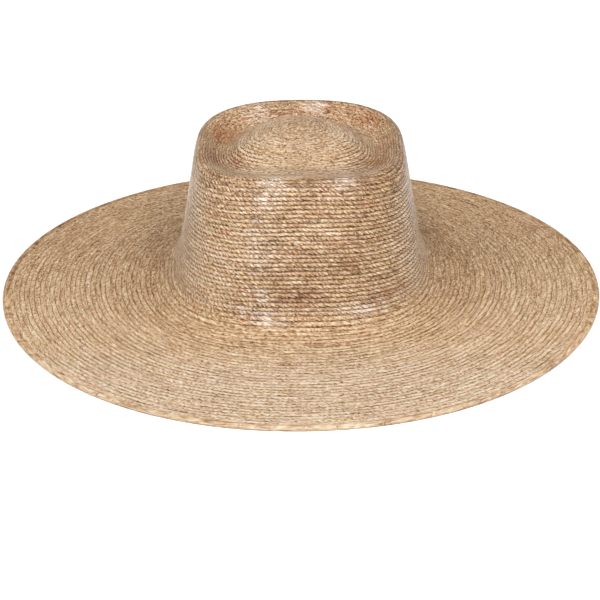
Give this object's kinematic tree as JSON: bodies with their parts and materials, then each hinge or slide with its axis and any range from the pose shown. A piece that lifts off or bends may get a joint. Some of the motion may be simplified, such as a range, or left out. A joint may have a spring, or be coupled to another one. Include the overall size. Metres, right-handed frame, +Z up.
{
  "type": "boater hat",
  "caption": "Wide-brimmed straw boater hat sewn from palm-leaf braid, with a telescope crown, a raised dome in its groove and a thicker border row.",
  "frame": {"origin": "middle of the brim's outline, on the surface that the brim rests on", "axes": "+Z up through the crown, -Y to the front of the hat, +Y to the back, +X to the right in the front view"},
  "size_m": [0.407, 0.429, 0.1108],
  "materials": {
    "crown_braid": "varnished palm-leaf braid, satin",
    "brim_braid": "palm-leaf braid, satin",
    "border_braid": "thicker palm-leaf braid, satin"
  },
  "bodies": {
    "root": {"crown_tip": "crown_braid", "crown_wall": "crown_braid", "brim": "brim_braid", "brim_border": "border_braid"}
  },
  "joints": []
}
